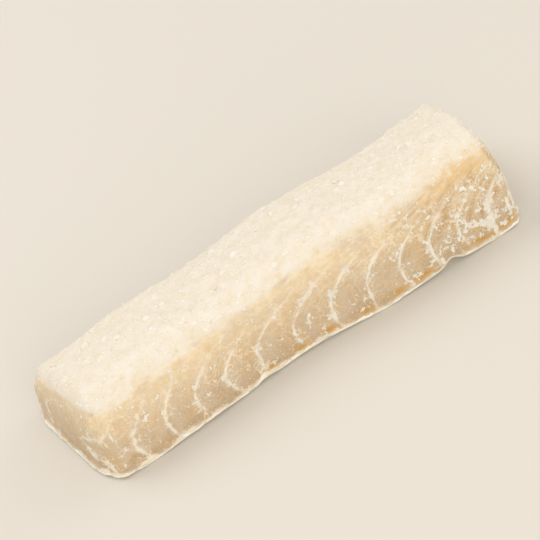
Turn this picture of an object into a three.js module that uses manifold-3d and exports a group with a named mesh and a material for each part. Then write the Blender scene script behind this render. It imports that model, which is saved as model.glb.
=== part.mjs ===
// A strip of salted dried cod: one piece, sawn along the fish, lying on its skin.
//
// Millimetres, +Z up. +X runs along the fish to the thicker end. The -Y cut shows the flakes best.
// The origin is the middle of the footprint, on the surface that the skin rests on.

import * as THREE from "three";
import { mergeVertices } from "three/addons/utils/BufferGeometryUtils.js";
import Module from "manifold-3d";

const { clamp, lerp, smoothstep } = THREE.MathUtils;

// The blank that the saw leaves.
const LENGTH = 151;
const WIDTH = 50;
const THICKNESS = 26.5; // from the skin to the crest of the front cut, at the thinner end
const THICKER_BY = 3.5; // added towards the +X end
const THICKENS = { from: 0.3, to: 0.8 }; // over this stretch, as shares of the length
const BACK_DROP = 0.24; // share of the thickness lost from the front cut to the back cut
const DROP_CURVE = 1.5; // over 1, the top falls mostly near the back
const ARCH = 2.2; // the middle of the top stands this much over the line from crest to crest
const TAPER = 0.07; // share of the width lost towards the -X end

// Radii of its edges, rounded by drying.
const ROUND_END = 5;
const ROUND_SIDE = 12;
const ROUND_TOP = 13;

// Facets of the blank, which crowd towards the front and back cuts.
const FACETS_LONG = 76;
const FACETS_WIDE = 11;
const FACETS_HIGH = 10;
const CROWDING = 1.15;
const FACET = LENGTH / FACETS_LONG;

// How the blank warps as it dries.
const LEAN = 2.4; // the long cuts lean inwards by this much at the top
const END_LEAN = 1.8; // and so do the ends
const BULGE = 1.2; // the long cuts are this much fuller at half height
const BEND = 3.2; // the strip bends towards +Y at one place
const BEND_AT = -9;
const BEND_REACH = 25;
const SWELL = 0.9; // slow rise and fall of the top
const SWELL_WAVE = 57;
const END_SKEW = 3.5; // the ends are sawn a little askew

// The skin: a thin dry rind, whose edge stands proud of the cuts and curls off the surface below.
const SKIN = 1.1;
const SKIN_PROUD = 0.9;
const SKIN_CURVE = 0.6; // height over which the flesh meets the proud edge
const RIM_SIDE = 7; // width of the skin's curled edge along the cuts
const RIM_END = 15; // and along the ends
const RIM_CURL = 1; // the edge rises and falls by this much
const RIM_FOOT = LENGTH / 2 - 6 * FACET; // one of the places where it touches the surface below
const RIM_WAVE = 21 * FACET; // and the distance from there to the next
const PUCKERS = [
  { at: 47, height: 2.3, reach: 3.2 },
  { at: -20, height: 1.1, reach: 4.5 },
];

// Flakes: the layers of muscle, whose edges cross the cuts as hooked lines.
const FLAKE = 11.9; // distance along the fish from one layer to the next
const FLAKE_START = 6.1; // how far a layer's line lies to +X of the middle
const FLAKE_CROWD = 1.8; // layers crowd in some stretches and spread in others, by this much
const CROWD_WAVE = 110;
const FLAKE_STEP = 0.4; // each layer's edge stands this far over the next one
const FLAKE_FOOT = 4 * SKIN; // it shows from this height up
const FLAKE_TOP = 21; // and is lost in the flesh at this height
const HOOK_AT = 9.5; // a line turns back towards +X at this height
const HOOK_FOOT = { thinEnd: 0.05, thickEnd: 0.018, from: -20, to: 20 }; // how fast it bends below
const HOOK_ARM = { thinEnd: 0.075, thickEnd: 0.13, from: -60, to: 0 }; // and above, changing from x to x
const CONE = 24; // how far a layer runs to +X from the front cut to the back cut
const WANDER = 2.2; // how far a layer strays from its own curve
const WANDER_WAVE = 18;

// Salt: a lumpy crust on the top, and crystals large enough to stand out.
const CRUST = 0.9;
const CRUST_LUMP = 3.3; // size of its lumps
const CRUST_MOUND = 10; // and of the mounds that they lie on
const CRYSTAL_SMALLEST = 1.8;
const CRYSTAL_LARGEST = 3;
const CRYSTAL_WIDTH = { least: 0.6, most: 1 }; // as shares of its length
const CRYSTAL_HEIGHT = { least: 0.6, most: 0.9 };
const CRYSTAL_SINK = 0.35; // how deep a crystal's middle lies in the fish
const TOP_CRYSTALS = 70;
const FRONT_CRYSTALS = 38;
const BACK_CRYSTALS = 12;
const CUT_SALTED = { from: 0.12, to: 0.8 }; // crystals on the cuts lie between these shares of the height
const THIN_END_SALT = 0.25; // the front cut's thin end has this share of the thick end's crystals
const SALT_THICKENS = { from: 0.5, to: 0.85 }; // over this stretch, as shares of the length

const fract = (v) => v - Math.floor(v);
const hash = (i, j, k) => fract(Math.sin(i * 127.1 + j * 311.7 + k * 74.7) * 43758.5453);
const bell = (distance) => Math.exp(-(distance ** 2));

// Smooth noise from 0 to 1, with one lump for each unit of length.
function noise(x, y, z) {
  const [i, j, k] = [x, y, z].map(Math.floor);
  const [u, v, w] = [x - i, y - j, z - k].map((f) => smoothstep(f, 0, 1));
  const edge = (dj, dk) => lerp(hash(i, j + dj, k + dk), hash(i + 1, j + dj, k + dk), u);
  return lerp(lerp(edge(0, 0), edge(1, 0), v), lerp(edge(0, 1), edge(1, 1), v), w);
}

// Places on the blank as shares of its width and height, from the front cut and from the skin.
const acrossOf = (blank) => clamp(blank.y / WIDTH + 0.5, 0, 1);
const heightOf = (blank) => clamp(blank.z / THICKNESS, 0, 1);

// How far a layer's line has run to +X at a height above or below its hook.
function hookOf(x, above) {
  const { thinEnd, thickEnd, from, to } = above < 0 ? HOOK_FOOT : HOOK_ARM;
  return lerp(thinEnd, thickEnd, smoothstep(x, from, to)) * above ** 2;
}

// Which layer of muscle a point is in. Whole numbers are the walls between the layers.
function layerOf({ x, y, z }) {
  const hook = hookOf(x, z - HOOK_AT);
  const cone = CONE * acrossOf({ y }) ** 2;
  const crowd = FLAKE_CROWD * Math.sin((2 * Math.PI * x) / CROWD_WAVE);
  const stray = WANDER * noise(x / WANDER_WAVE, y / WANDER_WAVE, (2 * z) / WANDER_WAVE);
  return (x - FLAKE_START - crowd - hook - cone + stray) / FLAKE;
}

// Rounds the blank's upright edges and its top. Tells which way a point is pushed outwards, and how far
// it is from the square core to the surface, which is 1 for all but the inner points of the base.
function roundOff({ x, y, z }) {
  const radii = new THREE.Vector3(ROUND_END, ROUND_SIDE, ROUND_TOP);
  const core = new THREE.Vector3(
    clamp(x, ROUND_END - LENGTH / 2, LENGTH / 2 - ROUND_END),
    clamp(y, ROUND_SIDE - WIDTH / 2, WIDTH / 2 - ROUND_SIDE),
    clamp(z, 0, THICKNESS - ROUND_TOP),
  );
  const offset = new THREE.Vector3(x, y, z).sub(core).divide(radii);
  const reach = Math.max(...offset.toArray().map(Math.abs));
  const outward = offset.normalize();
  return { place: core.addScaledVector(outward.clone().multiply(radii), reach), outward, reach };
}

// How far the surface stands out from the rounded blank.
function reliefOf(blank, outward) {
  const onCut = 1 - outward.z ** 2; // 1 on the cuts, 0 on the top
  const shows = smoothstep(blank.z, SKIN, FLAKE_FOOT) * (1 - smoothstep(blank.z, HOOK_AT, FLAKE_TOP));
  const flake = FLAKE_STEP * (fract(layerOf(blank)) - 0.5) * onCut * shows;
  const lumps = (size) => noise(blank.x / size, blank.y / size, size);
  const crust = CRUST * (lumps(CRUST_LUMP) + lumps(CRUST_MOUND) - 1) * (1 - onCut);
  const skinEdge = blank.z <= SKIN ? SKIN_PROUD : 0;
  return flake + crust + skinEdge * onCut;
}

// How high the skin's edge curls off the surface below.
function curlOf({ x, y }) {
  const inset = Math.min((WIDTH / 2 - Math.abs(y)) / RIM_SIDE, (LENGTH / 2 - Math.abs(x)) / RIM_END);
  const wave = RIM_CURL * Math.abs(Math.sin((Math.PI * (x - RIM_FOOT)) / RIM_WAVE));
  const pucker = ({ at, height, reach }) => height * bell((x - at) / reach);
  const puckers = y < 0 ? PUCKERS.map(pucker).reduce((sum, height) => sum + height) : 0;
  return (1 - smoothstep(inset, 0, 1)) * (wave + puckers);
}

// Carries a point of the blank to its place on the dried strip.
function dry(blank) {
  const { place, outward, reach } = roundOff(blank);
  const [along, across, height] = [blank.x / LENGTH + 0.5, acrossOf(blank), heightOf(blank)];
  place.addScaledVector(outward, reach * reliefOf(blank, outward));

  const thicker = 1 + (THICKER_BY / THICKNESS) * smoothstep(along, THICKENS.from, THICKENS.to);
  const fall = 1 - BACK_DROP * across ** DROP_CURVE;
  const swell = SWELL * Math.sin((2 * Math.PI * blank.x) / SWELL_WAVE) * height;
  const sideways = 2 * across - 1;
  const arch = ARCH * (1 - sideways ** 2) * height;
  place.z = place.z * thicker * fall + arch + swell + curlOf(blank) * (1 - height) ** 2;

  place.y *= 1 - TAPER * (1 - along);
  place.y += sideways * (BULGE * Math.sin(Math.PI * height) - LEAN * height);
  place.y += BEND * bell((blank.x - BEND_AT) / BEND_REACH);
  place.x += (END_SKEW / 2) * sideways * (2 * along - 1);
  place.x -= END_LEAN * height * (2 * along - 1);
  return place;
}

// Keeps only what a solid needs of a geometry: its places and the facets between them.
function bare(geometry) {
  geometry.deleteAttribute("normal");
  geometry.deleteAttribute("uv");
  return mergeVertices(geometry);
}

// The blank as a grid of facets. The first row above the base makes the skin's edge.
function makeBlank() {
  const box = new THREE.BoxGeometry(LENGTH, WIDTH, FACETS_HIGH, FACETS_LONG, FACETS_WIDE, FACETS_HIGH);
  const blank = bare(box);
  const points = blank.getAttribute("position");
  const fleshRows = FACETS_HIGH - 2;
  for (let i = 0; i < points.count; i++) {
    const row = Math.round(points.getZ(i) + FACETS_HIGH / 2);
    const aboveSkin = lerp(SKIN + SKIN_CURVE, THICKNESS, (row - 2) / fleshRows);
    points.setZ(i, row < 2 ? row * SKIN : aboveSkin);
    const sideways = (2 * points.getY(i)) / WIDTH;
    points.setY(i, ((WIDTH / 2) * Math.sin(CROWDING * sideways)) / Math.sin(CROWDING));
  }
  return blank;
}

function makeFish() {
  const fish = makeBlank();
  const points = fish.getAttribute("position");
  for (let i = 0; i < points.count; i++) {
    const { x, y, z } = dry(new THREE.Vector3().fromBufferAttribute(points, i));
    points.setXYZ(i, x, y, z);
  }
  return fish;
}

// One salt crystal: a rough lump, partly sunk in the fish. Its seed gives its size and how it lies.
function makeCrystal({ blank, seed }) {
  const size = lerp(CRYSTAL_SMALLEST, CRYSTAL_LARGEST, hash(seed, 1, 1) ** 2);
  const crystal = bare(new THREE.IcosahedronGeometry(size / 2));
  const width = lerp(CRYSTAL_WIDTH.least, CRYSTAL_WIDTH.most, hash(seed, 2, 1));
  const height = lerp(CRYSTAL_HEIGHT.least, CRYSTAL_HEIGHT.most, hash(seed, 3, 1));
  crystal.scale(1, width, height);
  crystal.rotateX(Math.PI * hash(seed, 4, 1));
  crystal.rotateZ(Math.PI * hash(seed, 5, 1));
  const place = dry(blank).addScaledVector(roundOff(blank).outward, -CRYSTAL_SINK);
  return crystal.translate(place.x, place.y, place.z);
}

// Spreads crystals over one face of the blank. share(u) is how much of the salt a stretch of it keeps.
function scatter(count, face, share) {
  const crystals = [];
  for (let seed = 1; crystals.length < count; seed++) {
    const [u, v] = [hash(seed, 6, 1), hash(seed, 7, 1)];
    if (hash(seed, 8, 1) < share(u)) crystals.push(makeCrystal({ blank: face(u, v), seed }));
  }
  return crystals;
}

function makeCrystals() {
  const alongAt = (u) => (u - 0.5) * (LENGTH - ROUND_END);
  const upAt = (v) => lerp(CUT_SALTED.from, CUT_SALTED.to, v) * THICKNESS;
  const top = (u, v) => new THREE.Vector3(alongAt(u), (v - 0.5) * (WIDTH - ROUND_SIDE), THICKNESS);
  const front = (u, v) => new THREE.Vector3(alongAt(u), -WIDTH / 2, upAt(v));
  const back = (u, v) => new THREE.Vector3(alongAt(u), WIDTH / 2, upAt(v));
  const everywhere = () => 1;
  const thickening = (u) => smoothstep(u, SALT_THICKENS.from, SALT_THICKENS.to);
  const mostlyThickEnd = (u) => lerp(THIN_END_SALT, 1, thickening(u));
  return [
    ...scatter(TOP_CRYSTALS, top, everywhere),
    ...scatter(FRONT_CRYSTALS, front, mostlyThickEnd),
    ...scatter(BACK_CRYSTALS, back, everywhere),
  ];
}

function toSolid(wasm, geometry) {
  const vertProperties = new Float32Array(geometry.getAttribute("position").array);
  const triVerts = new Uint32Array(geometry.index.array);
  return new wasm.Manifold(new wasm.Mesh({ numProp: 3, vertProperties, triVerts }));
}

function toGeometry(solid) {
  const { vertProperties, triVerts } = solid.getMesh();
  const geometry = new THREE.BufferGeometry();
  geometry.setAttribute("position", new THREE.BufferAttribute(vertProperties, 3));
  geometry.setIndex(new THREE.BufferAttribute(triVerts, 1));
  return geometry;
}

// Sets the middle of the footprint at the origin and the lowest skin at z = 0.
function centre(geometry) {
  geometry.computeBoundingBox();
  const { min, max } = geometry.boundingBox;
  return geometry.translate(-(min.x + max.x) / 2, -(min.y + max.y) / 2, -min.z);
}

const wasm = await Module();
wasm.setup();

const fuse = (solid, crystal) => solid.add(toSolid(wasm, crystal));
const salted = makeCrystals().reduce(fuse, toSolid(wasm, makeFish()));

const flesh = new THREE.MeshStandardMaterial({ color: 0xe6cfa6, roughness: 0.62, metalness: 0 });
const strip = new THREE.Mesh(centre(toGeometry(salted)), flesh);
strip.name = "cod_strip";

const cod = new THREE.Group();
cod.add(strip);

export default cod;
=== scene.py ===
import math
import random

import bmesh
import bpy
import numpy as np
from mathutils import Matrix, Vector, noise


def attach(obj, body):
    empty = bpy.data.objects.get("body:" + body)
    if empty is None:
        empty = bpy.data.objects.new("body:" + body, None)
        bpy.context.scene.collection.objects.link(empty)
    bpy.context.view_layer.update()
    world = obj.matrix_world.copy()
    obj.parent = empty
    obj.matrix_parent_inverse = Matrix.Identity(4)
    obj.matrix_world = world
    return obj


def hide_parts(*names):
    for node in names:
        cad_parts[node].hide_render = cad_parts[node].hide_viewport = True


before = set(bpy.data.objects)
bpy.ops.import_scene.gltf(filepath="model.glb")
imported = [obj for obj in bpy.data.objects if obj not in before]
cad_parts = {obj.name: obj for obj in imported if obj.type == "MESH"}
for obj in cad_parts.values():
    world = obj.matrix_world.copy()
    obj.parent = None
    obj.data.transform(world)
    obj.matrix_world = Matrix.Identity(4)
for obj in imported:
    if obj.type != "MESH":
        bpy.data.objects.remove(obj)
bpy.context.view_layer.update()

# A strip of salted dried cod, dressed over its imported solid: flesh, skin, flake walls and salt.
#
# The blank is the strip as the saw leaves it. Its points are in millimetres from the middle of its
# skin, and dry() carries them to the dried strip, as in the solid. in_frame() makes them metres.

MM = 0.001
TINY = 1e-4  # shorter than any side of a face
random.seed(7)

# The blank.
LENGTH = 151
WIDTH = 50
THICKNESS = 26.5  # from the skin to the crest of the front cut, at the thinner end
THICKER_BY = 3.5  # added towards the +X end
THICKENS = (0.3, 0.8)  # over this stretch, as shares of the length
BACK_DROP = 0.24  # share of the thickness lost from the front cut to the back cut
DROP_CURVE = 1.5  # over 1, the top falls mostly near the back
ARCH = 2.2  # the middle of the top stands this much over the line from crest to crest
TAPER = 0.07  # share of the width lost towards the -X end
ROUND_END = 5  # radii of its edges, rounded by drying
ROUND_SIDE = 12
ROUND_TOP = 13

# How it warps as it dries.
LEAN = 2.4  # the long cuts lean inwards by this much at the top
END_LEAN = 1.8  # and so do the ends
BULGE = 1.2  # the long cuts are this much fuller at half height
BEND = 3.2  # the strip bends towards +Y at one place
BEND_AT = -9
BEND_REACH = 25
SWELL = 0.9  # slow rise and fall of the top
SWELL_WAVE = 57
END_SKEW = 3.5  # the ends are sawn a little askew

# The skin: a thin dry rind, whose edge stands proud of the cuts and curls off the surface below.
SKIN = 1.1
SKIN_PROUD = 0.9
RIM_SIDE = 7  # width of the skin's curled edge along the cuts
RIM_END = 15  # and along the ends
RIM_CURL = 1  # the edge rises and falls by this much
RIM_FOOT = 63.58  # one of the places where it touches the surface below
RIM_WAVE = 41.72  # and the distance from there to the next
PUCKERS = ((47, 2.3, 3.2), (-20, 1.1, 4.5))  # place, height and reach of each

# Flakes: the layers of muscle, whose edges cross the cuts as hooked lines.
FLAKE = 11.9  # distance along the fish from one layer to the next
FLAKE_START = 6.1  # how far a layer's line lies to +X of the middle
FLAKE_CROWD = 1.8  # layers crowd in some stretches and spread in others, by this much
CROWD_WAVE = 110
FLAKE_STEP = 0.4  # each layer's edge stands this far over the next one
STEP_RAMP = 0.1  # and drops back within this share of a layer
FLAKE_FOOT = 4 * SKIN  # it shows from this height up
FLAKE_TOP = 21  # and is lost in the flesh at this height
HOOK_AT = 9.5  # a line turns back towards +X at this height
HOOK_FOOT = ((0.05, 0.018), (-20, 20))  # how fast it bends below, at the thin and the thick end
HOOK_ARM = ((0.075, 0.13), (-60, 0))  # and above, each changing from x to x
CONE = 24  # how far a layer runs to +X from the front cut to the back cut
WANDER = 2.2  # how far a layer strays from its own curve
WANDER_WAVE = 18

# The lumpy crust, and the fine grain of each surface.
CRUST = 0.9
CRUST_LUMP = 3.3  # size of its lumps
CRUST_MOUND = 10  # and of the mounds that they lie on
CRUST_GRAIN = 0.18
CRUST_GRAIN_SIZE = 1.5
CUT_GRAIN = 0.07
CUT_GRAIN_SIZE = 2.2
GRAIN_FADES = 0.7  # how fast the finer octaves of grain fade
GRAIN_FINER = 2.1  # each octave is this many times finer than the last


def clamp(value, low=0.0, high=1.0):
    return max(low, min(high, value))


def lerp(a, b, t):
    return a + (b - a) * t


def smoothstep(value, low, high):
    t = clamp((value - low) / (high - low))
    return t * t * (3 - 2 * t)


def bell(distance):
    return math.exp(-(distance**2))


# ---------------------------------------------------------------- the form of the strip


def lump_height(i, j, k):
    """A height from 0 to 1 for each corner of a grid."""
    value = math.sin(i * 127.1 + j * 311.7 + k * 74.7) * 43758.5453
    return value - math.floor(value)


def lumps(x, y, z):
    """Smooth lumps from 0 to 1, one for each unit of length, placed as in the solid."""
    i, j, k = math.floor(x), math.floor(y), math.floor(z)
    u, v, w = (smoothstep(f, 0, 1) for f in (x - i, y - j, z - k))

    def edge(dj, dk):
        return lerp(lump_height(i, j + dj, k + dk), lump_height(i + 1, j + dj, k + dk), u)

    return lerp(lerp(edge(0, 0), edge(1, 0), v), lerp(edge(0, 1), edge(1, 1), v), w)


def grain(point, size, octaves=3, level=0):
    """Uneven grain from about -1 to 1, with features of that size. Each level has a grain of its own."""
    place = (point + Vector((0, 0, level))) / size
    return noise.fractal(place, GRAIN_FADES, GRAIN_FINER, octaves, noise_basis="PERLIN_ORIGINAL")


def plan_grain(blank, size, octaves=3, level=0):
    """Grain that stays the same from the skin to the top."""
    return grain(Vector((blank.x, blank.y, 0)), size, octaves, level)


def across_of(blank):
    return clamp(blank.y / WIDTH + 0.5)


def height_of(blank):
    return clamp(blank.z / THICKNESS)


def depth_of(blank):
    """How far a place lies in from the nearer long cut."""
    return WIDTH / 2 - abs(blank.y)


def hook_of(blank):
    """How far a layer's line has run to +X, above or below the height where it turns back."""
    above = blank.z - HOOK_AT
    bends, stretch = HOOK_FOOT if above < 0 else HOOK_ARM
    return lerp(*bends, smoothstep(blank.x, *stretch)) * above**2


def stray_of(blank):
    """How far a layer strays from its own curve."""
    return WANDER * lumps(blank.x / WANDER_WAVE, blank.y / WANDER_WAVE, 2 * blank.z / WANDER_WAVE)


def layer_of(blank):
    """Which layer of muscle a place is in. Whole numbers are the walls between flakes."""
    cone = CONE * across_of(blank) ** 2
    crowd = FLAKE_CROWD * math.sin(2 * math.pi * blank.x / CROWD_WAVE)
    return (blank.x - FLAKE_START - crowd - hook_of(blank) - cone + stray_of(blank)) / FLAKE


def round_off(blank):
    """Rounds the blank's edges. Gives a point's place, which way is out, and how far out it is, up to 1."""
    radii = Vector((ROUND_END, ROUND_SIDE, ROUND_TOP))
    core = Vector((
        clamp(blank.x, ROUND_END - LENGTH / 2, LENGTH / 2 - ROUND_END),
        clamp(blank.y, ROUND_SIDE - WIDTH / 2, WIDTH / 2 - ROUND_SIDE),
        clamp(blank.z, 0, THICKNESS - ROUND_TOP),
    ))
    offset = blank - core
    offset = Vector(a / b for a, b in zip(offset, radii))
    reach = max(abs(a) for a in offset)
    outward = offset.normalized()
    place = core + Vector(a * b for a, b in zip(outward, radii)) * reach
    return place, outward, reach


def step_of(layer):
    """A flake rises slowly from one wall to the next, then drops back within a short ramp."""
    past_wall = layer - math.floor(layer)
    if past_wall < STEP_RAMP:
        return 0.5 - past_wall / STEP_RAMP
    return (past_wall - STEP_RAMP) / (1 - STEP_RAMP) - 0.5


def relief_of(blank, outward):
    """How far the surface stands out from the rounded blank, apart from the skin's edge."""
    on_cut = 1 - outward.z**2
    shows = smoothstep(blank.z, SKIN, FLAKE_FOOT) * (1 - smoothstep(blank.z, HOOK_AT, FLAKE_TOP))
    flake = FLAKE_STEP * step_of(layer_of(blank)) * on_cut * shows
    mounds = sum(lumps(blank.x / s, blank.y / s, s) for s in (CRUST_LUMP, CRUST_MOUND)) - 1
    crust = (CRUST * mounds + CRUST_GRAIN * grain(blank, CRUST_GRAIN_SIZE)) * (1 - on_cut)
    cut = CUT_GRAIN * grain(blank, CUT_GRAIN_SIZE) * on_cut
    return flake + crust + cut


def curl_of(blank):
    """How far the skin's edge curls off the surface below."""
    side = depth_of(blank) / RIM_SIDE
    end = (LENGTH / 2 - abs(blank.x)) / RIM_END
    lift = RIM_CURL * abs(math.sin(math.pi * (blank.x - RIM_FOOT) / RIM_WAVE))
    if blank.y < 0:
        lift += sum(height * bell((blank.x - at) / reach) for at, height, reach in PUCKERS)
    return (1 - smoothstep(min(side, end), 0, 1)) * lift


def warp(place, blank):
    """Bends the rounded blank as it bends in drying."""
    along, across, height = blank.x / LENGTH + 0.5, across_of(blank), height_of(blank)
    sideways = 2 * across - 1
    thicker = 1 + THICKER_BY / THICKNESS * smoothstep(along, *THICKENS)
    fall = 1 - BACK_DROP * across**DROP_CURVE
    arch = ARCH * (1 - sideways**2) * height
    swell = SWELL * math.sin(2 * math.pi * blank.x / SWELL_WAVE) * height
    x, y, z = place
    z = z * thicker * fall + arch + swell + curl_of(blank) * (1 - height) ** 2
    y *= 1 - TAPER * (1 - along)
    y += sideways * (BULGE * math.sin(math.pi * height) - LEAN * height)
    y += BEND * bell((blank.x - BEND_AT) / BEND_REACH)
    x += END_SKEW / 2 * sideways * (2 * along - 1)
    x -= END_LEAN * height * (2 * along - 1)
    return Vector((x, y, z))


def dry(blank, proud=0.0):
    """Carries a point of the blank to its place on the dried strip. Also tells which way is out."""
    place, outward, reach = round_off(blank)
    place += outward * reach * (relief_of(blank, outward) + proud)
    return warp(place, blank), outward


def footprint_middle():
    """The middle of the skin's footprint, which is the origin."""
    steps = 200
    edge = []
    for i in range(steps + 1):
        t = i / steps - 0.5
        edge += [Vector((t * LENGTH, side * WIDTH / 2, 0)) for side in (-1, 1)]
        edge += [Vector((side * LENGTH / 2, t * WIDTH, 0)) for side in (-1, 1)]
    places = [dry(blank, SKIN_PROUD)[0] for blank in edge]
    xs, ys = [p.x for p in places], [p.y for p in places]
    return Vector(((min(xs) + max(xs)) / 2, (min(ys) + max(ys)) / 2, 0))


ORIGIN = footprint_middle()


def in_frame(place):
    return (place - ORIGIN) * MM


# ---------------------------------------------------------------- making pieces


def add_piece(name, mesh, material, replaces=None):
    piece = bpy.data.objects.new(name, mesh)
    bpy.context.collection.objects.link(piece)
    mesh.materials.append(material)
    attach(piece, "root")
    if replaces:
        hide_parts(replaces)
    return piece


def cut_block(low, high, cuts):
    """A block between two corners, cut into a grid of faces."""
    block = bmesh.new()
    middle = (low + high) / 2
    size = Matrix.Diagonal((*(high - low), 1))
    bmesh.ops.create_cube(block, size=1, matrix=Matrix.Translation(middle) @ size)
    for axis in range(3):
        along = [e for e in block.edges if abs((e.verts[1].co - e.verts[0].co)[axis]) > TINY]
        bmesh.ops.subdivide_edges(block, edges=along, cuts=cuts[axis] - 1, use_grid_fill=True)
    return block


def finish_mesh(block, name):
    """Makes a mesh of a block, smooth and with its faces turned outwards."""
    mesh = bpy.data.meshes.new(name)
    bmesh.ops.recalc_face_normals(block, faces=block.faces)
    for face in block.faces:
        face.smooth = True
    block.to_mesh(mesh)
    block.free()
    return mesh


def write_mark(mesh, name, values, kind="FLOAT", part="value"):
    """Keeps a value for each corner of a mesh, which its finish reads by name."""
    mesh.attributes.new(name, kind, "POINT").data.foreach_set(part, values)


class Finish:
    """A node material being put together: a coat of colours laid one over another, and its surface."""

    def __init__(self, name):
        self.material = bpy.data.materials.new(name)
        self.material.use_nodes = True
        self.nodes = self.material.node_tree.nodes
        self.links = self.material.node_tree.links
        self.nodes.clear()
        output = self.nodes.new("ShaderNodeOutputMaterial")
        self.shader = self.nodes.new("ShaderNodeBsdfPrincipled")
        self.links.new(self.shader.outputs[0], output.inputs["Surface"])
        self.place = self.nodes.new("ShaderNodeTexCoord").outputs["Object"]
        self.coat = None

    def put(self, socket, value):
        if isinstance(value, bpy.types.NodeSocket):
            self.links.new(value, socket)
        elif isinstance(value, tuple) and len(value) == 3 and socket.type == "RGBA":
            socket.default_value = (*value, 1)
        else:
            socket.default_value = value

    def mark(self, name, output="Fac"):
        """The value that a mesh keeps under that name."""
        node = self.nodes.new("ShaderNodeAttribute")
        node.attribute_name = name
        return node.outputs[output]

    def calc(self, kind, *values):
        node = self.nodes.new("ShaderNodeMath")
        node.operation = kind
        for socket, value in zip(node.inputs, values):
            self.put(socket, value)
        return node.outputs[0]

    def times(self, first, *others):
        for other in others:
            first = self.calc("MULTIPLY", first, other)
        return first

    def between(self, value, low, high, to_low, to_high):
        """Maps a value smoothly from one range to another."""
        node = self.nodes.new("ShaderNodeMapRange")
        node.interpolation_type = "SMOOTHSTEP"
        for socket, setting in zip(node.inputs, (value, low, high, to_low, to_high)):
            self.put(socket, setting)
        return node.outputs[0]

    def rise(self, value, low, high, most=1.0):
        """From nought at low to most at high."""
        return self.between(value, low, high, 0, most)

    def fall(self, value, low, high, most=1.0):
        """From most at low to nought at high."""
        return self.between(value, low, high, most, 0)

    def cloud(self, size_mm, detail=3.0, roughness=0.55, at=None, squeeze=(1, 1, 1)):
        """Noise with features of that size, drawn out where squeeze is under 1."""
        mapping = self.nodes.new("ShaderNodeMapping")
        self.put(mapping.inputs["Vector"], at or self.place)
        mapping.inputs["Scale"].default_value = squeeze
        node = self.nodes.new("ShaderNodeTexNoise")
        self.put(node.inputs["Vector"], mapping.outputs[0])
        node.inputs["Scale"].default_value = 1 / (size_mm * MM)
        node.inputs["Detail"].default_value = detail
        node.inputs["Roughness"].default_value = roughness
        return node.outputs[0]

    def stray(self, spread, *cloud, **more):
        """Noise about nought, with that much between its lowest and its highest."""
        return self.calc("MULTIPLY_ADD", self.cloud(*cloud, **more), spread, -spread / 2)

    def cracks(self, size_mm):
        """Nought along crooked lines that far apart, and more beside them."""
        return self.calc("ABSOLUTE", self.calc("SUBTRACT", self.cloud(size_mm, 2, 0.45), 0.5))

    def tones(self, value, stops):
        node = self.nodes.new("ShaderNodeValToRGB")
        self.put(node.inputs[0], value)
        elements = node.color_ramp.elements
        elements[0].position, elements[0].color = stops[0][0], (*stops[0][1], 1)
        elements[1].position, elements[1].color = stops[-1][0], (*stops[-1][1], 1)
        for at, color in stops[1:-1]:
            elements.new(at).color = (*color, 1)
        return node.outputs[0]

    def lay(self, color, share=None):
        """Lays a colour over the coat, as thickly as share says, or starts the coat with it."""
        if share is None:
            self.coat = color
            return
        node = self.nodes.new("ShaderNodeMix")
        node.data_type = "RGBA"
        for name, value in (("Factor_Float", share), ("A_Color", self.coat), ("B_Color", color)):
            self.put(next(s for s in node.inputs if s.identifier == name), value)
        self.coat = next(s for s in node.outputs if s.identifier == "Result_Color")

    def rough(self, value):
        self.put(self.shader.inputs["Roughness"], value)

    def shine(self, level):
        self.put(self.shader.inputs["Specular IOR Level"], level)

    def soften(self, weight, radius_mm, where=None):
        """Lets light spread under the surface, everywhere or as far as where says."""
        self.put(self.shader.inputs["Subsurface Weight"], weight)
        if where is not None:
            self.put(self.shader.inputs["Subsurface Weight"], self.times(where, weight))
        self.put(self.shader.inputs["Subsurface Radius"], radius_mm)
        self.put(self.shader.inputs["Subsurface Scale"], MM)

    def bump(self, height, depth_mm):
        node = self.nodes.new("ShaderNodeBump")
        self.put(node.inputs["Height"], height)
        self.put(node.inputs["Distance"], depth_mm * MM)
        self.put(self.shader.inputs["Normal"], node.outputs[0])

    def done(self):
        self.put(self.shader.inputs["Base Color"], self.coat)
        return self.material


# ---------------------------------------------------------------- the flesh

FLESH_CUTS = (336, 100, 56)  # along, across and up
LIP = 0.75  # the flesh flares out by this much to meet the skin's edge
LIP_FADES = (0.7 * SKIN, 2.4 * SKIN)  # between these heights
WALLS_APART = 50  # walls are taken to be at most this far apart along the surface
SLOPE_STEP = 0.2  # the slope of the layers is measured this far to either side

# Below, OVER is a stretch of the fish, from x to x, over which something grows or fades. BAND is the
# middle height of something and how far it reaches from there. DEPTH is its reach in from a long cut.

# The crust of the top reaches down to where the surface faces up by less than this.
CRUST_EDGE = 0.83
CRUST_EDGE_WAVES = ((0.05, 7), (0.03, 1.6))  # how far that strays, and the size of each wave
CRUST_SPREADS = 0.07  # how much further down it comes at the thin end
CRUST_SPREADS_OVER = (0, 50)  # from the middle towards the thin end
CRUST_FADES = (0.3, 0.1)  # it fades in from this far below its edge to this far above

# White salt that dried onto the cuts, where its patches and crumbs together are over a level.
BLOOM_SHIFT = Vector((31, 7, 5))  # takes its grain from a place that nothing else uses
BLOOM_PATCH = 3.2
BLOOM_CRUMB = 1.1
BLOOM_CRUMBLY = 0.6  # how much the crumbs break up the patches
BLOOM_LEVEL = 0.66
BLOOM_SCARCER = 0.1  # the level is this much higher in the thin half
BLOOM_SCARCER_OVER = (-5, 25)
BLOOM_BY_WALL = 0.2  # and this much lower along a flake wall
BLOOM_WALL_REACH = 0.17  # in layers
BLOOM_FULL = 0.25  # this far over the level, the cut is all white

# Frost lowers that level at the thick end, most of all near the foot of the long cuts.
FROST = 1.25
FROST_OVER = (34, 72)
FROST_BAND = (8, 7)
FROST_DEPTH = 12
FROST_SHARES = (0.5, 0.35)  # of it on the open flesh, and more along the walls

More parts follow.
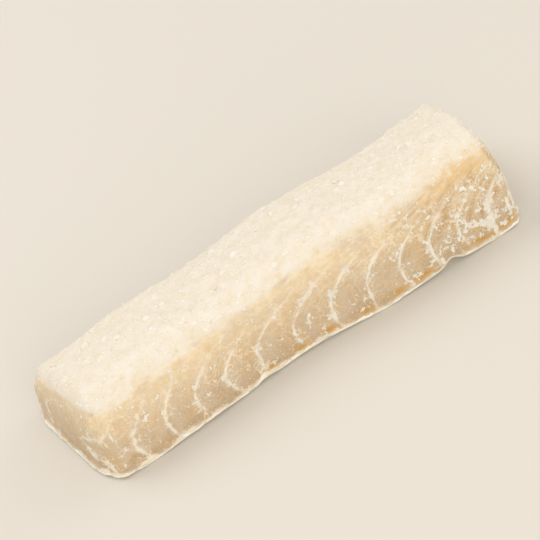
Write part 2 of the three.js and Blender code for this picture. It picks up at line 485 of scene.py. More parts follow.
# Fat has yellowed the flesh above the skin, and the crests of the long cuts.
STAINS = (  # place and reach of each
    (-17.5, 2), (-6, 3), (4.5, 3.5), (16.5, 3), (28, 4), (37, 4), (58, 4), (69, 5),
)
STAIN_BAND = (2.4, 1.1)
STAIN_DEPTH = 4
FAT_FACING = (0.68, 0.18)  # how far up a crest faces where it is yellowest, and the reach of that
FAT_DEPTH = 11
FAT_THICKEST = (61, 11)  # place and reach

# Wisps of salt, deeper tan flesh, flake walls and the skin's pale margin.
WISPS_GROW_OVER = (5, 40)
WISPS_THIN_OVER = (46, 58)
WISPS_BAND = (18, 5)
TAN_OVER = (15, 58)
TAN_BAND = (18, 11)
WALLS_FIRM = (0.7, 0.95)  # their strength at the thin end and in the middle
WALLS_FIRM_OVER = (-25, -5)
WALLS_LEFT = 0.6  # share of their strength that is left at the thick end
WALLS_BREAK_OVER = (36, 54)
MARGIN = (0.058, 0.04)  # its height in the thin and the thick half, as a share of the whole
MARGIN_OVER = (2, 12)
MARGIN_WAVES = 0.7


def band(value, middle, reach):
    """1 in the middle, fading to either side."""
    return bell((value - middle) / reach)


def wall_spacing(blank, outward):
    """Millimetres along the surface from one flake wall to the next."""
    slope = Vector((0, 0, 0))
    for axis in range(3):
        aside = Vector((0, 0, 0))
        aside[axis] = SLOPE_STEP
        slope[axis] = (layer_of(blank + aside) - layer_of(blank - aside)) / (2 * SLOPE_STEP)
    slope -= outward * slope.dot(outward)
    return 1 / max(slope.length, 1 / WALLS_APART)


def crust_share(blank, outward):
    """How much of the dry salt crust covers a place, from 0 on the cuts to 1 on the top."""
    edge = CRUST_EDGE + sum(height * grain(blank, size) for height, size in CRUST_EDGE_WAVES)
    edge -= CRUST_SPREADS * smoothstep(-blank.x, *CRUST_SPREADS_OVER)
    return smoothstep(outward.z, edge - CRUST_FADES[0], edge + CRUST_FADES[1])


def bloom_over(blank):
    """How far a place is past where salt dries white: mostly along flake walls and at the thick end."""
    layer = layer_of(blank)
    by_wall = bell((layer - round(layer)) / BLOOM_WALL_REACH)
    frosted = FROST * smoothstep(blank.x, *FROST_OVER) * band(blank.z, *FROST_BAND)
    frosted *= bell(depth_of(blank) / FROST_DEPTH)
    patch = grain(blank + BLOOM_SHIFT, BLOOM_PATCH, 4) + BLOOM_CRUMBLY * grain(blank, BLOOM_CRUMB)
    level = BLOOM_LEVEL + BLOOM_SCARCER * (1 - smoothstep(blank.x, *BLOOM_SCARCER_OVER))
    level -= frosted * (FROST_SHARES[0] + FROST_SHARES[1] * by_wall) + BLOOM_BY_WALL * by_wall
    return patch - level


def bloom_share(blank):
    """How much white salt has dried onto a cut."""
    return smoothstep(bloom_over(blank), 0, BLOOM_FULL)


def stain_share(blank):
    """Where fat has yellowed the flesh, just above the skin."""
    along = sum(bell((blank.x - at) / reach) for at, reach in STAINS)
    uneven = 0.95 + 0.4 * grain(blank, 3)
    return clamp(along * bell(depth_of(blank) / STAIN_DEPTH) * uneven) * band(blank.z, *STAIN_BAND)


def fat_share(blank, outward):
    """Where fat has yellowed the crests of the long cuts: most at the thick end, patches elsewhere."""
    crest = band(outward.z, *FAT_FACING) * bell(depth_of(blank) / FAT_DEPTH)
    streaked = 0.75 + 0.6 * grain(Vector((blank.x / 0.8, blank.y / 5, blank.z / 5)), 1)
    ragged = 0.7 + 0.6 * grain(blank, 3)
    patches = smoothstep(grain(blank, 4, level=70), 0.3, 0.6)
    return clamp(crest * streaked * ragged * max(1.3 * band(blank.x, *FAT_THICKEST), 0.7 * patches))


def wisps_share(blank):
    """Where thin threads of salt make a net: above the flakes, towards the thick end."""
    uneven = smoothstep(grain(blank, 7, 2, level=110), -0.4, 0.3)
    most = smoothstep(blank.x, *WISPS_GROW_OVER) * lerp(1, 0.3, smoothstep(blank.x, *WISPS_THIN_OVER))
    return uneven * most * band(blank.z, *WISPS_BAND)


def tan_share(blank):
    """Where the flesh is deeper tan: towards the thick end, in streaks."""
    streaked = grain(Vector((blank.x / 3, blank.y, blank.z - 0.3 * blank.x)), 2.2, 4)
    return smoothstep(blank.x, *TAN_OVER) * smoothstep(streaked, -0.5, 0.6) * band(blank.z, *TAN_BAND)


def wall_strength(blank):
    """Flake walls are faint at the thin end, and break up into frost at the thick end."""
    firm = lerp(*WALLS_FIRM, smoothstep(blank.x, *WALLS_FIRM_OVER))
    return firm * lerp(1, WALLS_LEFT, smoothstep(blank.x, *WALLS_BREAK_OVER))


def margin_height(blank):
    """How high the skin's pale margin reaches, as a share of the height: widest at the thin end."""
    height = lerp(*MARGIN, smoothstep(blank.x, *MARGIN_OVER))
    return height * (1 + MARGIN_WAVES * plan_grain(blank, 6, 2, level=60))


def marks_of(blank, outward):
    """What the flesh's finish reads of a place."""
    return {
        "layer": layer_of(blank),
        "wall_mm": wall_spacing(blank, outward),
        "height": height_of(blank),
        "crust": crust_share(blank, outward),
        "bloom": bloom_over(blank),
        "stain": stain_share(blank),
        "fat": fat_share(blank, outward),
        "wisps": wisps_share(blank),
        "tan": tan_share(blank),
        "walls": wall_strength(blank),
        "margin": margin_height(blank),
    }


def make_flesh(material):
    low = Vector((-LENGTH / 2, -WIDTH / 2, 0.5 * SKIN))
    high = Vector((LENGTH / 2, WIDTH / 2, THICKNESS))
    block = cut_block(low, high, FLESH_CUTS)
    base = [f for f in block.faces if f.calc_center_median().z < low.z + TINY]
    bmesh.ops.dissolve_faces(block, faces=base)
    marks, fibres = [], []
    for vert in block.verts:
        blank = vert.co.copy()
        place, outward = dry(blank, LIP * (1 - smoothstep(blank.z, *LIP_FADES)))
        marks.append(marks_of(blank, outward))
        fibres.extend(Vector((FLAKE * layer_of(blank), blank.y, blank.z)) * MM)
        vert.co = in_frame(place)
    mesh = finish_mesh(block, "flesh")
    for name in marks[0]:
        write_mark(mesh, name, [mark[name] for mark in marks])
    write_mark(mesh, "fibre", fibres, "FLOAT_VECTOR", "vector")
    return add_piece("flesh", mesh, material, "cod_strip")


# Colours, as linear red, green and blue. Tones are colours that follow a value, each with where it stands.
# Partly the flesh's own colour and partly painted shade and light: darker towards the skin and lighter
# towards the crest, as light from above falls on the cut.
FLESH_AND_SHADE_TONES = (  # from the skin to the crest
    (0.0, (0.44, 0.305, 0.175)),
    (0.3, (0.525, 0.385, 0.235)),
    (0.55, (0.61, 0.47, 0.295)),
    (0.8, (0.72, 0.58, 0.37)),
    (1.0, (0.83, 0.71, 0.50)),
)
PALE_FIBRE = (0.76, 0.67, 0.51)
DARK_FIBRE = (0.50, 0.36, 0.20)
GREYED_FLESH = (0.62, 0.50, 0.365)
CLEAR_FLESH = (0.585, 0.475, 0.345)
WARM_FLESH = (0.63, 0.42, 0.19)
FIBRE_SHADOW = (0.47, 0.33, 0.19)
PALE_MOTTLE = (0.80, 0.71, 0.56)
TAN_FLESH = (0.52, 0.345, 0.16)
DARK_ARC = (0.38, 0.21, 0.08)
PALE_ARC = (0.84, 0.75, 0.58)
GOLDEN_BLOTCH = (0.66, 0.475, 0.225)
PALE_BLOTCH = (0.85, 0.775, 0.61)
FLAKE_WALL = (0.91, 0.86, 0.745)
SALT_BRANCH = (0.90, 0.84, 0.71)
SKIN_MARGIN = (0.88, 0.80, 0.655)
STAIN_EDGE = (0.66, 0.42, 0.15)
STAIN_MIDDLE = (0.56, 0.32, 0.08)
SALT_THREAD = (0.89, 0.83, 0.70)
FROST_TONES = (
    (0.3, (0.76, 0.67, 0.52)),
    (0.5, (0.85, 0.785, 0.66)),
    (0.7, (0.89, 0.85, 0.76)),
)
CRUST_TONES = (
    (0.32, (0.775, 0.705, 0.575)),
    (0.5, (0.80, 0.745, 0.645)),
    (0.7, (0.815, 0.78, 0.715)),
)
CRUST_DASH = (0.72, 0.60, 0.34)
CREST_FAT = (0.76, 0.54, 0.265)


def lay_flesh(finish, height, fibres):
    """Tan flesh, greyer and darker by the skin and paler and yellower by the crest: partly its own colour
    and partly painted shade and light. Gives the streaks of its fibres.
    """
    # The height ramp paints shade low on the cut and light near the crest, over the flesh's own tan.
    finish.lay(finish.tones(finish.calc("ADD", height, finish.stray(0.4, 9, 4)), FLESH_AND_SHADE_TONES))
    lower = finish.between(height, 0.5, 0.9, 1, 0.35)
    streak = finish.cloud(1.7, 4, 0.6, at=fibres, squeeze=(1, 0.3, 0.22))
    finish.lay(PALE_FIBRE, finish.times(finish.rise(streak, 0.52, 0.75, 0.3), lower))
    finish.lay(DARK_FIBRE, finish.times(finish.fall(streak, 0.25, 0.47, 0.3), lower))
    finish.lay(GREYED_FLESH, finish.rise(finish.cloud(6, 4), 0.45, 0.65, 0.65))
    past_wall = finish.calc("FRACT", finish.mark("layer"))
    clear = finish.times(finish.rise(past_wall, 0, 0.12), finish.fall(past_wall, 0.3, 0.75, 0.6))
    clear = finish.times(clear, finish.rise(height, 0.08, 0.2), finish.fall(height, 0.35, 0.6))
    finish.lay(CLEAR_FLESH, clear)
    warmed = finish.rise(finish.cloud(5, 4, 0.6), 0.48, 0.68, 0.7)
    finish.lay(WARM_FLESH, finish.times(warmed, lower))
    crossing = finish.cloud(1.3, 4, 0.6, at=fibres, squeeze=(0.22, 0.3, 1))
    finish.lay(FIBRE_SHADOW, finish.times(finish.fall(crossing, 0.3, 0.46, 0.4), lower))
    finish.lay(PALE_MOTTLE, finish.rise(finish.cloud(0.5, 4, 0.7), 0.35, 0.7, 0.3))
    return streak


def lay_arcs(finish, fibres):
    """Deeper tan towards the thick end, where the fibres show as arcs inside one another."""
    tan = finish.mark("tan")
    nested = finish.cloud(1.5, 3, 0.6, at=fibres, squeeze=(1, 0.15, 0.12))
    finish.lay(TAN_FLESH, finish.times(tan, 0.75))
    finish.lay(DARK_ARC, finish.times(finish.fall(nested, 0.34, 0.48, 0.85), tan))
    finish.lay(PALE_ARC, finish.times(finish.rise(nested, 0.54, 0.66, 0.6), tan))


def lay_blotches(finish, height, wisps):
    """Golden and pale blotches below the crest, most at the thick end."""
    blotched = finish.calc("MAXIMUM", finish.rise(height, 0.35, 0.65, 0.38), wisps)
    blotch = finish.cloud(1.5, 5, 0.7, squeeze=(0.6, 1, 1))
    finish.lay(GOLDEN_BLOTCH, finish.times(finish.fall(blotch, 0.33, 0.49, 0.75), blotched))
    finish.lay(PALE_BLOTCH, finish.times(finish.rise(blotch, 0.5, 0.64, 0.9), blotched))


def lay_flake_walls(finish, height):
    """Thin white lines with a soft edge, and branches of salt along cracks beside them. Gives the lines."""
    wavering = finish.calc("ADD", finish.stray(0.13, 1.6, 5, 0.7), finish.stray(0.2, 7, 2))
    layer = finish.calc("ADD", finish.mark("layer"), wavering)
    away = finish.calc("ABSOLUTE", finish.calc("SUBTRACT", layer, finish.calc("ROUND", layer)))
    width = finish.between(finish.cloud(4, 3), 0.35, 0.65, 0.5, 1.3)
    away_mm = finish.calc("DIVIDE", finish.times(away, finish.mark("wall_mm")), width)
    line = finish.calc("ADD", finish.fall(away_mm, 0.2, 0.75, 0.8), finish.fall(away_mm, 0.3, 2.2, 0.3))
    broken = finish.between(finish.cloud(3, 3), 0.34, 0.52, 0.25, 1)
    faint_above = finish.between(height, 0.45, 0.85, 1, 0.1)
    thin_foot = finish.between(height, 0.06, 0.25, 0.45, 1)
    wall = finish.times(line, broken, faint_above, thin_foot, finish.mark("walls"))
    finish.lay(FLAKE_WALL, wall)
    branched = finish.rise(finish.cloud(5, 2), 0.4, 0.6)
    beside = finish.times(finish.fall(away_mm, 1, 5), branched, faint_above)
    finish.lay(SALT_BRANCH, finish.times(finish.fall(finish.cracks(4.5), 0.004, 0.028, 0.75), beside))
    return wall


def lay_margin(finish, height):
    """The pale margin that the skin's edge grows out of, and the fat stains over it."""
    ragged = finish.calc("ADD", height, finish.stray(0.05, 1.5, 3))
    over_margin = finish.calc("SUBTRACT", ragged, finish.mark("margin"))
    finish.lay(SKIN_MARGIN, finish.fall(over_margin, -0.02, 0.02, 0.8))
    stain = finish.mark("stain")
    finish.lay(STAIN_EDGE, finish.rise(stain, 0, 0.8, 0.5))
    spotted = finish.calc("MULTIPLY_ADD", finish.cloud(1, 4, 0.65, squeeze=(0.4, 1, 1)), 1.1, stain)
    finish.lay(STAIN_MIDDLE, finish.rise(spotted, 0.9, 1.5, 0.9))


def lay_threads(finish, height, wisps):
    """Thin threads of salt, where brine dried along cracks."""
    salty = finish.times(finish.rise(finish.cloud(8, 2), 0.45, 0.6), finish.rise(height, 0.1, 0.3))
    salty = finish.calc("MAXIMUM", salty, wisps)
    finish.lay(SALT_THREAD, finish.times(finish.fall(finish.cracks(3.2), 0.004, 0.022, 0.4), salty))


def lay_crust(finish):
    """Salt dried on in patches, then the crust of the top and its fat. Gives the patches and the crust."""
    speckle = finish.cloud(0.8, 4, 0.7)
    patch = finish.calc("MULTIPLY_ADD", speckle, 0.6, finish.mark("bloom"))
    patch = finish.rise(patch, 0.35, 0.52)
    finish.lay(finish.tones(finish.cloud(0.4, 3, 0.6), FROST_TONES), finish.times(patch, 0.85))
    edging = finish.stray(0.8, 1.5, 4, 0.6, squeeze=(0.4, 1, 1))
    edging = finish.calc("MULTIPLY_ADD", speckle, 0.3, edging)
    crust = finish.rise(finish.calc("ADD", finish.mark("crust"), edging), 0.25, 1)
    finish.lay(finish.tones(finish.cloud(3, 4, 0.6), CRUST_TONES), crust)
    dash = finish.rise(finish.cloud(1.3, 2, squeeze=(0.4, 1, 1)), 0.62, 0.72, 0.35)
    finish.lay(CRUST_DASH, finish.times(dash, crust))
    finish.lay(CREST_FAT, finish.mark("fat"))
    return patch, crust


def flesh_finish():
    finish = Finish("flesh")
    height = finish.mark("height")
    fibres = finish.mark("fibre", "Vector")
    wisps = finish.mark("wisps")
    streak = lay_flesh(finish, height, fibres)
    lay_arcs(finish, fibres)
    lay_blotches(finish, height, wisps)
    wall = lay_flake_walls(finish, height)
    lay_margin(finish, height)
    lay_threads(finish, height, wisps)
    patch, crust = lay_crust(finish)

    bare = finish.fall(crust, 0, 0.6)
    finish.rough(finish.between(finish.calc("MAXIMUM", patch, crust), 0, 1, 0.45, 0.8))
    finish.shine(0.35)
    finish.soften(0.6, (1.2, 0.85, 0.55), where=bare)
    fine = finish.calc("MULTIPLY_ADD", streak, 0.5, finish.cloud(1.8, 4))
    fine = finish.times(fine, finish.between(crust, 0, 1, 1, 0.5))
    raised = finish.calc("MAXIMUM", wall, finish.times(patch, bare, 0.25))
    finish.bump(finish.calc("ADD", fine, raised), 0.15)
    return finish.done()


# ---------------------------------------------------------------- the skin

SKIN_CUTS = (320, 50, 4)  # along, across and up
SKIN_FACES = 0.6  # its upper and lower faces stand this share as proud as the middle of its edge
SKIN_RAGGED = 0.3  # how far its edge strays in and out
SKIN_UNEVEN = 0.45  # how much thicker and thinner it is in places
SKIN_BEADS = 0.5  # height of small beads along it
FOLD_AT = -20.6  # a fold in the front edge
FOLD_REACH = 1.9
FOLD_THICK = 1.3

SKIN_TONES = (
    (0.3, (0.80, 0.70, 0.54)),
    (0.5, (0.90, 0.84, 0.71)),
    (0.7, (0.92, 0.88, 0.78)),
)
GREYED_SKIN = (0.68, 0.62, 0.51)


def make_skin(material):
    low = Vector((-LENGTH / 2, -WIDTH / 2, 0))
    high = Vector((LENGTH / 2, WIDTH / 2, SKIN))
    block = cut_block(low, high, SKIN_CUTS)
    for vert in block.verts:
        blank = vert.co.copy()
        lip = 1 - (2 * blank.z / SKIN - 1) ** 2
        ragged = SKIN_RAGGED * plan_grain(blank, 2.5, level=40)
        place, _ = dry(blank, SKIN_PROUD * lerp(SKIN_FACES, 1, lip) + ragged * lip)
        thick = SKIN_UNEVEN * plan_grain(blank, 6, level=80)
        thick += SKIN_BEADS * max(0, plan_grain(blank, 2.2, 2, level=120))
        if blank.y < 0:
            thick += FOLD_THICK * band(blank.x, FOLD_AT, FOLD_REACH)
        place.z += thick * blank.z / SKIN
        vert.co = in_frame(place)
    return add_piece("skin", finish_mesh(block, "skin"), material)


def skin_finish():
    finish = Finish("skin")
    finish.lay(finish.tones(finish.cloud(3, 4), SKIN_TONES))
    finish.lay(GREYED_SKIN, finish.rise(finish.cloud(14, 3), 0.48, 0.62, 0.7))
    finish.rough(finish.between(finish.cloud(1.5), 0.3, 0.7, 0.4, 0.6))
    finish.soften(0.4, (1.2, 0.9, 0.6))
    finish.bump(finish.cloud(1.1, 4), 0.15)
    return finish.done()


# ---------------------------------------------------------------- the salt

SALT_TONES = (  # from grains half dissolved into the flesh to dry white ones
    (0.0, (0.745, 0.66, 0.52)),
    (0.3, (0.81, 0.745, 0.64)),
    (0.55, (0.835, 0.79, 0.705)),
    (1.0, (0.865, 0.835, 0.77)),
)
DISSOLVED = 0.35  # whiteness of salt that has half dissolved into the flesh
DRY_WHITE = 0.6  # and of dry salt
WHITENS_OVER = (0, 50)  # on the cuts, it grows drier from the one place to the other
TINT_VARIES = 0.13  # and each grain differs by about this much

# Shapes of grains and sprays, in units of their own length.
KINDS = 8  # of each shape of grain
SPRAY_KINDS = 12
LUMPS_IN_GRAIN = 2.3
KINDS_APART = 7.3  # in the noise that gives them their lumps
CORNERS_STRAY = 0.12
NEXT_THREAD_AT = 0.85  # a thread starts this far along the one before it
THREADS_STRAY = 0.02
NARROWEST = 0.7  # a grain is at least this share as wide as it is long
SPRAY_LIFT = 0.02  # a spray's middle stands this much over the cut

# Where salt lies on the cuts.
AT_END = 0.1  # nearer than this to an end of the blank, a spot counts as on it
SALT_FOOT = 2 * SKIN  # none lies below this height
WALL_SALT_TOP = 0.85 * THICKNESS
WALL_NUMBERS = (-7, 6)  # the first and the last flake wall
WALL_SCATTER = 0.025  # in layers
ON_TOP = 0.7  # share of the loose grains that is tried on the top

# The largest crystals, as the solid has them.
TOP_CRYSTALS = 70
FRONT_CRYSTALS = 38
BACK_CRYSTALS = 12
CUT_SALTED = (0.12, 0.8)  # crystals on the cuts lie between these shares of the height
THIN_END_SALT = 0.25  # the front cut's thin end has this share of the thick end's crystals
SALT_THICKENS = (0.5, 0.85)  # over this stretch, as shares of the length
CRUMBS = 14  # small ones around each crystal on the cuts
CRUMBS_REACH = 1


def salt_finish():
    finish = Finish("salt")
    tint = finish.calc("ADD", finish.mark("tint"), finish.stray(1.2, 3, 4, 0.6))
    finish.lay(finish.tones(tint, SALT_TONES))
    finish.rough(finish.between(finish.cloud(0.6), 0.3, 0.7, 0.45, 0.75))
    finish.shine(0.3)
    finish.bump(finish.cloud(0.25), 0.05)
    return finish.done()


def any_way(most):
    return Vector([random.uniform(-most, most) for _ in range(3)])


def any_turn():
    return random.uniform(0, 2 * math.pi)


def take_shape(block):
    """The corners and faces of a finished block, ready to be copied many times."""
    corners = np.array([v.co[:] for v in block.verts])
    faces = np.array([[v.index for v in f.verts] for f in block.faces])
    block.free()
    return corners, faces


def rough_grains(uneven, roundness=0):
    """A few salt grains of different shape, each about one unit across."""
    shapes = []
    for kind in range(KINDS):
        block = bmesh.new()
        if roundness:
            bmesh.ops.create_icosphere(block, subdivisions=roundness, radius=0.5)
        else:
            bmesh.ops.create_cube(block, size=0.8)
            bmesh.ops.triangulate(block, faces=block.faces)
        apart = Vector((kind * KINDS_APART, 0, 0))
        for vert in block.verts:
            vert.co *= 1 + uneven * noise.noise(vert.co * LUMPS_IN_GRAIN + apart)
            vert.co += any_way(1) * uneven * CORNERS_STRAY
        shapes.append(take_shape(block))
    return shapes


def sprays(threads, length, thickness, bend):
    """Threads of salt that branch and spread flat from one place, each spray about one unit across."""
    shapes = []
    for _ in range(SPRAY_KINDS):
        block = bmesh.new()
        ends = [(Vector((0, 0, 0)), any_turn())]
        for _ in range(threads):
            at, heading = random.choice(ends)
            heading += random.gauss(0, bend)
            long, thick = random.uniform(*length), random.uniform(*thickness)
            ahead = Vector((math.cos(heading), math.sin(heading), 0))
            place = Matrix.Translation(at + ahead * long / 2) @ Matrix.Rotation(heading, 4, "Z")
            bmesh.ops.create_cube(block, size=1, matrix=place @ Matrix.Diagonal((long, thick, thick, 1)))
            ends.append((at + ahead * NEXT_THREAD_AT * long, heading))
        bmesh.ops.triangulate(block, faces=block.faces)
        middle = sum((v.co for v in block.verts), Vector()) / len(block.verts)
        reach = max((v.co - middle).length for v in block.verts)
        for vert in block.verts:
            vert.co = (vert.co - middle) / (2 * reach)
            vert.co += any_way(THREADS_STRAY)
        shapes.append(take_shape(block))
    return shapes


def way_along(blank):
    """The way that a cut runs: 0, along the fish, for a long cut, and 1, across it, for an end."""
    return 0 if abs(blank.x) < LENGTH / 2 - AT_END else 1


def turned(outward, lean):
    """A turn that stands a grain on the surface, spun at random and leaning a little."""
    spin = Matrix.Rotation(any_turn(), 3, "Z")
    tip = Matrix.Rotation(random.gauss(0, lean), 3, "X")
    return outward.to_track_quat("Z", "Y").to_matrix() @ tip @ spin


def whiteness(blank):
    """Salt is white on the top and at the thick end, and half dissolved into the flesh elsewhere."""
    return lerp(DISSOLVED, DRY_WHITE, max(share_of_crust(blank), smoothstep(blank.x, *WHITENS_OVER)))


def set_grain(shape, blank, size, flat, sink, lean=0.1):
    """Stands a grain on the strip, sunk by a share of its thickness."""
    place, outward = dry(blank)
    place += outward * size * flat * (0.5 - sink)
    stretch = Matrix.Diagonal((size, size * random.uniform(NARROWEST, 1), size * flat))
    turn = np.array(turned(outward, lean) @ stretch)
    return shape @ turn.T + np.array(place - ORIGIN)


def lay_spray(shape, blank, size):
    """Bends a flat spray to follow the curve of the cut that it dried on."""
    along = way_along(blank)
    reach = size / 2
    end = (LENGTH, WIDTH)[along] / 2 - reach
    middle = blank.copy()
    middle[along] = clamp(blank[along], -end, end)
    middle.z = clamp(blank.z, SALT_FOOT, THICKNESS - reach)
    place, outward = dry(middle)
    spin = np.array(Matrix.Rotation(any_turn(), 2))
    spread = 2 * (shape[:, :2] * (1, random.uniform(NARROWEST, 1))) @ spin.T
    corners = np.array(place - ORIGIN) + np.outer(size * (shape[:, 2] + SPRAY_LIFT), outward)
    for share, axis in zip(spread.T, (along, 2)):
        aside = Vector((0, 0, 0))
        aside[axis] = reach
        ahead, behind = dry(middle + aside)[0] - place, dry(middle - aside)[0] - place
        corners += np.outer(share, (ahead - behind) / 2) + np.outer(share**2, (ahead + behind) / 2)
    return corners


def scatter(name, material, shapes, spots, sizes, flat=None, sink=None):
    """One mesh of many grains, or of sprays where no flatness is given. Most are small ones."""
    corners, faces, tints = [], [], []
    count = 0
    for blank in spots:
        shape, shape_faces = random.choice(shapes)
        size = lerp(*sizes, random.random() ** 2)
        if flat:
            corners.append(set_grain(shape, blank, size, flat, sink))
        else:
            corners.append(lay_spray(shape, blank, size))
        faces.append(shape_faces + count)
        tints.append(np.full(len(shape), clamp(random.gauss(whiteness(blank), TINT_VARIES))))
        count += len(shape)
    mesh = bpy.data.meshes.new(name)
    mesh.from_pydata(np.concatenate(corners) * MM, [], np.concatenate(faces))
    write_mark(mesh, "tint", np.concatenate(tints))
    mesh.update()
    return add_piece(name, mesh, material)


def anywhere_along(length):
    return random.uniform(-0.5, 0.5) * length


def on_top():
    x = anywhere_along(LENGTH - 1)
    return Vector((x, anywhere_along(WIDTH), THICKNESS))


def on_side():
    """A spot on one of the four cut sides."""
    z = random.uniform(SALT_FOOT, THICKNESS)
    side = random.choice((-1, 1))
    if random.random() < LENGTH / (LENGTH + WIDTH):
        return Vector((anywhere_along(LENGTH), side * WIDTH / 2, z))
    return Vector((side * LENGTH / 2, anywhere_along(WIDTH), z))


def anywhere():
    return on_top() if random.random() < ON_TOP else on_side()


def on_wall():
    """A spot beside a flake wall, on a long cut, oftener low than high."""
    z = lerp(SALT_FOOT, WALL_SALT_TOP, random.random() ** 1.5)
    side = random.choice((-1, 1))
    wall = random.randint(*WALL_NUMBERS) + random.gauss(0, WALL_SCATTER)
    blank = Vector((0, side * WIDTH / 2, z))
    for _ in range(3):
        blank.x += (wall - layer_of(blank)) * FLAKE
    blank.x = clamp(blank.x, ROUND_END - LENGTH / 2, LENGTH / 2 - ROUND_END)
    return blank


def spots_where(count, spot, share):
    """Spots drawn at random, kept as often as share says."""
    kept = []
    while len(kept) < count:
        blank = spot()
        if random.random() < share(blank):
            kept.append(blank)
    return kept


def share_of_crust(blank):
    """Where grains lie on the crust: fuller in some places than in others."""
    full = smoothstep(grain(blank, 6, 2, level=50), -0.5, 0.4)
    return crust_share(blank, round_off(blank)[1]) ** 2 * lerp(0.45, 1, full)


def share_of_cut(blank):
    """Everywhere on the cuts, but not on the top."""
    return 1 - smoothstep(round_off(blank)[1].z, 0.3, 0.8)


def share_of_bloom(blank):
    return bloom_share(blank) * share_of_cut(blank)


def share_of_specks(blank):
    """Loose specks, thicker towards the thick end."""
    gathered = smoothstep(grain(blank, 5, level=90), -0.2, 0.5)
    return share_of_cut(blank) * gathered * lerp(0.35, 1, smoothstep(blank.x, 0, 60))


def share_of_wall(blank):
    """Where grains lie by a flake wall: broken, and lost at the foot and on the upper arms."""
    middle = smoothstep(blank.z, 2.5, 7) * lerp(1, 0.05, smoothstep(blank.z, 9, 17))
    return smoothstep(grain(blank, 2.5), -0.1, 0.5) * middle


def drift_around(spots):
    """Crumbs of salt gathered on a cut around each spot."""
    crumbs = []
    for blank in spots:
        for _ in range(CRUMBS):
            off = [random.gauss(0, CRUMBS_REACH) for _ in range(2)]
            crumb = blank.copy()
            crumb[way_along(blank)] += off[0]
            crumb.z = clamp(blank.z + off[1], SALT_FOOT, THICKNESS)
            crumbs.append(crumb)
    return crumbs


def crystal_spots(count, face, share):
    """Where the solid has its largest crystals on one face."""
    spots = []
    seed = 0
    while len(spots) < count:
        seed += 1
        u, v, draw = (lump_height(seed, number, 1) for number in (6, 7, 8))
        if draw < share(u):
            spots.append(face(u, v))
    return spots


def large_crystal_spots():
    """The spots of the largest crystals on the top, then those on the front and back cuts."""

    def everywhere(_):
        return 1

    def mostly_thick_end(u):
        return lerp(THIN_END_SALT, 1, smoothstep(u, *SALT_THICKENS))

    def top(u, v):
        return Vector(((u - 0.5) * (LENGTH - ROUND_END), (v - 0.5) * (WIDTH - ROUND_SIDE), THICKNESS))

    def front(u, v):
        return Vector(((u - 0.5) * (LENGTH - ROUND_END), -WIDTH / 2, lerp(*CUT_SALTED, v) * THICKNESS))

    def back(u, v):
        return front(u, v) * Vector((1, -1, 1))

    on_cuts = crystal_spots(FRONT_CRYSTALS, front, mostly_thick_end)
    on_cuts += crystal_spots(BACK_CRYSTALS, back, everywhere)
    return crystal_spots(TOP_CRYSTALS, top, everywhere), on_cuts


def make_salt(material):
    cubes = rough_grains(0.35)
    lumpy = rough_grains(0.4, roundness=1)
    boulders = rough_grains(0.7, roundness=2)
    clumps = sprays(26, (0.14, 0.3), (0.1, 0.26), bend=1.2)
    threads = sprays(5, (0.22, 0.42), (0.09, 0.17), bend=1)
    crystals, cut_crystals = large_crystal_spots()

    def grains(name, shapes, spots, sizes, flat=0.4, sink=0.35):
        scatter(name, material, shapes, spots, sizes, flat, sink)

    def flat_sprays(name, shapes, spots, sizes):
        scatter(name, material, shapes, spots, sizes)

    grains("salt_fine", lumpy, spots_where(5500, anywhere, share_of_crust), (0.25, 0.8), sink=0.5)
    grains("salt_coarse", lumpy, spots_where(1400, anywhere, share_of_crust), (0.7, 1.4), sink=0.55)
    grains("salt_lumps", boulders, crystals, (1.8, 3), flat=0.45, sink=0.62)
    flat_sprays("salt_patches", clumps, cut_crystals, (2, 3.4))
    grains("salt_drifts", cubes, drift_around(cut_crystals), (0.15, 0.5))
    grains("salt_bloom", cubes, spots_where(7000, on_side, share_of_bloom), (0.15, 0.45))
    flat_sprays("salt_threads", threads, spots_where(3200, on_side, share_of_bloom), (0.6, 1.6))
    grains("salt_walls", cubes, spots_where(5000, on_wall, share_of_wall), (0.12, 0.4))
    flat_sprays("salt_wisps", threads, spots_where(500, on_wall, share_of_wall), (0.5, 1.3))
    grains("salt_specks", cubes, spots_where(1300, on_side, share_of_specks), (0.15, 0.5))


# ---------------------------------------------------------------- stage, light and camera

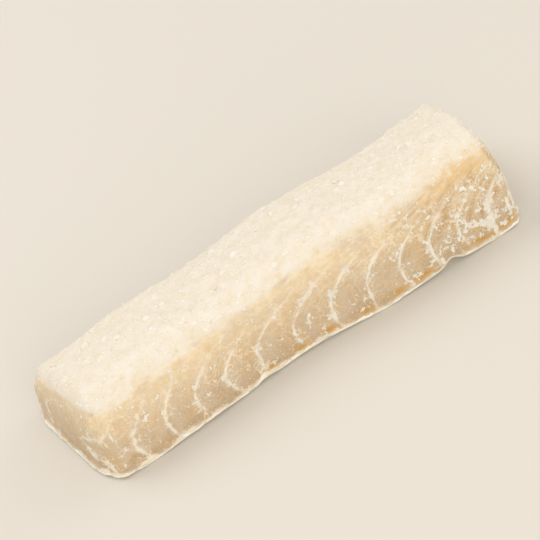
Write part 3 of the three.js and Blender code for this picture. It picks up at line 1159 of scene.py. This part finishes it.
# Here places and sizes are in metres.
AZIMUTH, ELEVATION, ROLL = -18, 38, 21.5  # degrees
TARGET = Vector((0.0006, 0, 0.0155))
DISTANCE = 0.6
LENS = 135  # millimetres, as is the width of its film
FILM = 36
FLOOR_REACH = 3
FLOOR_COLOR = (0.71, 0.685, 0.64)
SKY_COLOR = (1.0, 0.94, 0.86)
SKY_STRENGTH = 0.7
LAMPS = (  # name, place, size, power and colour
    ("key", (-0.4, 0.5, 0.8), 0.8, 3.9, (1.0, 0.97, 0.93)),
    ("fill", (-0.1, -0.95, 0.4), 0.9, 4.9, (1.0, 0.96, 0.9)),
    ("side", (0.9, 0.1, 0.5), 0.9, 1.8, (1.0, 0.96, 0.9)),
)


def make_floor():
    block = bmesh.new()
    bmesh.ops.create_grid(block, x_segments=1, y_segments=1, size=FLOOR_REACH)
    floor = bpy.data.objects.new("floor", finish_mesh(block, "floor"))
    bpy.context.collection.objects.link(floor)
    finish = Finish("floor")
    finish.lay(FLOOR_COLOR)
    finish.rough(0.8)
    floor.data.materials.append(finish.done())


def add_light(name, place, size, power, color):
    """A round lamp that faces the strip."""
    light = bpy.data.lights.new(name, "AREA")
    light.shape = "DISK"
    light.size = size
    light.energy = power
    light.color = color
    lamp = bpy.data.objects.new(name, light)
    lamp.location = place
    lamp.rotation_mode = "QUATERNION"
    lamp.rotation_quaternion = (-Vector(place)).to_track_quat("-Z", "Y")
    bpy.context.collection.objects.link(lamp)


def light_scene():
    world = bpy.data.worlds.new("studio")
    world.use_nodes = True
    sky = world.node_tree.nodes["Background"]
    sky.inputs["Color"].default_value = (*SKY_COLOR, 1)
    sky.inputs["Strength"].default_value = SKY_STRENGTH
    bpy.context.scene.world = world
    for lamp in LAMPS:
        add_light(*lamp)
    bpy.context.scene.view_settings.view_transform = "Standard"


def make_camera():
    camera = bpy.data.cameras.new("camera")
    camera.lens = LENS
    camera.sensor_width = FILM
    holder = bpy.data.objects.new("camera", camera)
    bpy.context.collection.objects.link(holder)
    a, e = math.radians(AZIMUTH), math.radians(ELEVATION)
    back = Vector((math.sin(a) * math.cos(e), -math.cos(a) * math.cos(e), math.sin(e)))
    turn = (-back).to_track_quat("-Z", "Y").to_matrix() @ Matrix.Rotation(math.radians(-ROLL), 3, "Z")
    holder.matrix_world = Matrix.Translation(TARGET + back * DISTANCE) @ turn.to_4x4()
    bpy.context.scene.camera = holder


make_camera()
make_flesh(flesh_finish())
make_skin(skin_finish())
make_salt(salt_finish())
make_floor()
light_scene()
